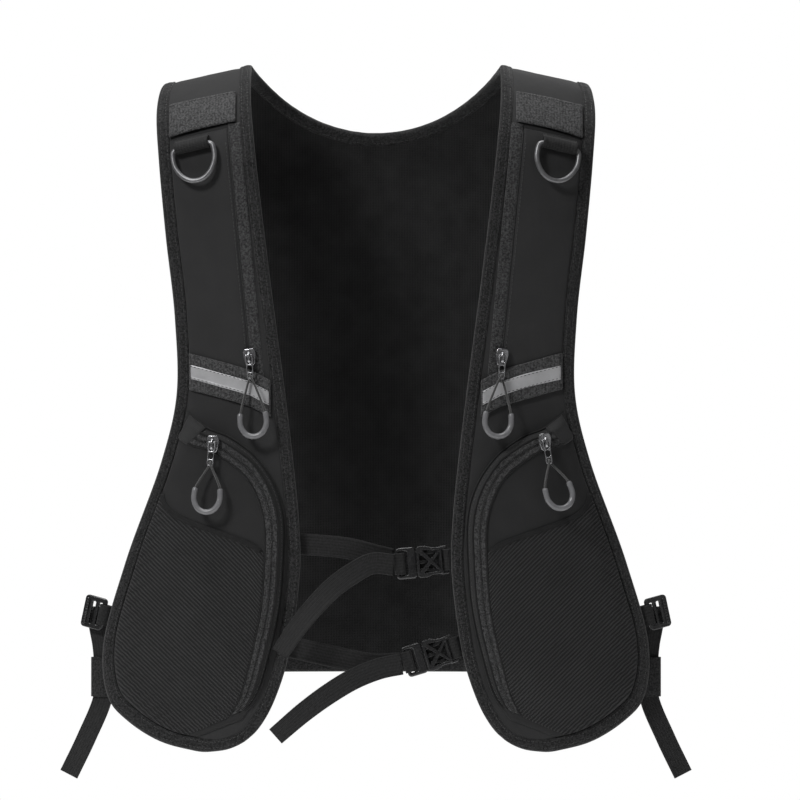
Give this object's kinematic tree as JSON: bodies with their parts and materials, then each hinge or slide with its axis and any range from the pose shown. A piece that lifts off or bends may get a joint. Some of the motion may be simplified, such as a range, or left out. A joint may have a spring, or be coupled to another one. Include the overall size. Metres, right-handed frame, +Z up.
{
  "type": "safety harness vest",
  "caption": "Black open-front running utility vest with zip and mesh pockets, D-rings, reflective bands, side adjusters and two chest buckles.",
  "frame": {"origin": "midway between the shoulders at the height of their tops, where the wearer's shoulders carry the vest", "axes": "+Z up, -Y out of the chest, +X to the wearer's left"},
  "size_m": [0.4478, 0.1808, 0.5062],
  "materials": {
    "shell_fabric": "smooth black woven stretch fabric, matt",
    "spacer_mesh": "black open air mesh with fine ribs",
    "binding_tape": "soft black binding tape, slightly fuzzy",
    "webbing": "charcoal woven webbing",
    "pocket_mesh": "black stretch mesh with a fine diagonal grain",
    "reflective_film": "silver retroreflective tape",
    "zip_tape": "black woven zip tape",
    "zip_metal": "dark grey lacquered metal",
    "ring_metal": "gunmetal, satin",
    "pull_sleeve": "grey moulded sleeve on a thin cord",
    "buckle_plastic": "black acetal, satin gloss"
  },
  "bodies": {
    "vest": {"back_shell": "shell_fabric", "back_lining": "spacer_mesh", "back_edge_binding": "binding_tape", "back_neck_binding": "binding_tape", "left_front_shell": "shell_fabric", "left_front_lining": "spacer_mesh", "left_front_binding": "binding_tape", "left_strap_pocket": "shell_fabric", "left_strap_zip_tape": "zip_tape", "left_reflective_webbing": "webbing", "left_reflective_tape": "reflective_film", "left_pocket_body": "shell_fabric", "left_pocket_zip_tape": "zip_tape", "left_mesh_pocket": "pocket_mesh", "left_d_ring_band": "webbing", "left_d_ring_loop": "webbing", "left_ladder_loop": "webbing", "left_side_strap": "webbing", "left_keeper": "binding_tape", "right_front_shell": "shell_fabric", "right_front_lining": "spacer_mesh", "right_front_binding": "binding_tape", "right_strap_pocket": "shell_fabric", "right_strap_zip_tape": "zip_tape", "right_reflective_webbing": "webbing", "right_reflective_tape": "reflective_film", "right_pocket_body": "shell_fabric", "right_pocket_zip_tape": "zip_tape", "right_mesh_pocket": "pocket_mesh", "right_d_ring_band": "webbing", "right_d_ring_loop": "webbing", "right_ladder_loop": "webbing", "right_side_strap": "webbing", "right_keeper": "binding_tape", "upper_chest_socket": "buckle_plastic", "upper_chest_socket_loop": "webbing", "upper_chest_strap": "webbing", "lower_chest_socket": "buckle_plastic", "lower_chest_socket_loop": "webbing", "lower_chest_strap": "webbing"},
    "left_d_ring": {"left_d_ring": "ring_metal"},
    "left_strap_slider": {"left_strap_slider": "zip_metal"},
    "left_strap_tab": {"left_strap_tab": "zip_metal"},
    "left_strap_pull": {"left_strap_pull": "pull_sleeve"},
    "left_pocket_slider": {"left_pocket_slider": "zip_metal"},
    "left_pocket_tab": {"left_pocket_tab": "zip_metal"},
    "left_pocket_pull": {"left_pocket_pull": "pull_sleeve"},
    "left_ladder_lock": {"left_ladder_lock": "buckle_plastic"},
    "right_d_ring": {"right_d_ring": "ring_metal"},
    "right_strap_slider": {"right_strap_slider": "zip_metal"},
    "right_strap_tab": {"right_strap_tab": "zip_metal"},
    "right_strap_pull": {"right_strap_pull": "pull_sleeve"},
    "right_pocket_slider": {"right_pocket_slider": "zip_metal"},
    "right_pocket_tab": {"right_pocket_tab": "zip_metal"},
    "right_pocket_pull": {"right_pocket_pull": "pull_sleeve"},
    "right_ladder_lock": {"right_ladder_lock": "buckle_plastic"},
    "upper_chest_plug": {"upper_chest_plug": "buckle_plastic", "upper_chest_tail": "webbing"},
    "lower_chest_plug": {"lower_chest_plug": "buckle_plastic", "lower_chest_tail": "webbing"}
  },
  "joints": [
    {"name": "left_d_ring_swing", "type": "hinge", "parent": "vest", "child": "left_d_ring", "pos_m": [0.129, -0.06765, -0.05878], "axis": [-0.9509, -0.226, 0.2117], "range_deg": [0, 150]},
    {"name": "left_strap_zip_travel", "type": "slide", "parent": "vest", "child": "left_strap_slider", "axis": [0.0943, 0.0183, 0.9954], "range_m": [0, 0.12]},
    {"name": "left_strap_tab_lift", "type": "hinge", "parent": "left_strap_slider", "child": "left_strap_tab", "pos_m": [0.08893, -0.07884, -0.20571], "axis": [-0.9771, -0.19, 0.096], "range_deg": [0, 110]},
    {"name": "left_strap_pull_swing", "type": "hinge", "parent": "left_strap_tab", "child": "left_strap_pull", "pos_m": [0.08791, -0.0808, -0.21994], "axis": [0.2008, -0.9724, 0.1192], "range_deg": [-40, 40]},
    {"name": "left_pocket_zip_travel", "type": "hinge", "parent": "vest", "child": "left_pocket_slider", "pos_m": [0.1375, -0.07392, -0.328], "axis": [0.2607, -0.9654, 0], "range_deg": [0, 63]},
    {"name": "left_pocket_tab_lift", "type": "hinge", "parent": "left_pocket_slider", "child": "left_pocket_tab", "pos_m": [0.11898, -0.08131, -0.26506], "axis": [-0.9607, -0.2506, -0.1197], "range_deg": [0, 110]},
    {"name": "left_pocket_pull_swing", "type": "hinge", "parent": "left_pocket_tab", "child": "left_pocket_pull", "pos_m": [0.12121, -0.0831, -0.27917], "axis": [0.2307, -0.9601, 0.1582], "range_deg": [-40, 40]},
    {"name": "left_ladder_lock_tilt", "type": "hinge", "parent": "vest", "child": "left_ladder_lock", "pos_m": [0.193, -0.03423, -0.389], "axis": [-0.2098, -0.0891, 0.9737], "range_deg": [-8, 8], "deforming": ["left_side_strap"]},
    {"name": "right_d_ring_swing", "type": "hinge", "parent": "vest", "child": "right_d_ring", "pos_m": [-0.129, -0.06765, -0.05878], "axis": [-0.9509, 0.226, -0.2117], "range_deg": [0, 150]},
    {"name": "right_strap_zip_travel", "type": "slide", "parent": "vest", "child": "right_strap_slider", "axis": [-0.0943, 0.0183, 0.9954], "range_m": [0, 0.12]},
    {"name": "right_strap_tab_lift", "type": "hinge", "parent": "right_strap_slider", "child": "right_strap_tab", "pos_m": [-0.08893, -0.07884, -0.20571], "axis": [-0.9771, 0.19, -0.096], "range_deg": [0, 110]},
    {"name": "right_strap_pull_swing", "type": "hinge", "parent": "right_strap_tab", "child": "right_strap_pull", "pos_m": [-0.08791, -0.0808, -0.21994], "axis": [-0.2008, -0.9724, 0.1192], "range_deg": [-40, 40]},
    {"name": "right_pocket_zip_travel", "type": "hinge", "parent": "vest", "child": "right_pocket_slider", "pos_m": [-0.1375, -0.07386, -0.328], "axis": [0.2607, 0.9654, 0], "range_deg": [0, 63]},
    {"name": "right_pocket_tab_lift", "type": "hinge", "parent": "right_pocket_slider", "child": "right_pocket_tab", "pos_m": [-0.1146, -0.08243, -0.26659], "axis": [-0.9687, 0.2432, 0.05], "range_deg": [0, 110]},
    {"name": "right_pocket_pull_swing", "type": "hinge", "parent": "right_pocket_tab", "child": "right_pocket_pull", "pos_m": [-0.11585, -0.08448, -0.28079], "axis": [-0.2326, -0.9595, 0.1591], "range_deg": [-40, 40]},
    {"name": "right_ladder_lock_tilt", "type": "hinge", "parent": "vest", "child": "right_ladder_lock", "pos_m": [-0.193, -0.03423, -0.389], "axis": [0.2098, -0.0891, 0.9737], "range_deg": [-8, 8], "deforming": ["right_side_strap"]},
    {"name": "upper_chest_release", "type": "slide", "parent": "vest", "child": "upper_chest_plug", "axis": [-0.9962, 0, -0.0869], "range_m": [0, 0.024], "deforming": ["upper_chest_strap"]},
    {"name": "lower_chest_release", "type": "slide", "parent": "vest", "child": "lower_chest_plug", "axis": [-0.9582, 0, -0.286], "range_m": [0, 0.024], "deforming": ["lower_chest_strap"]}
  ]
}
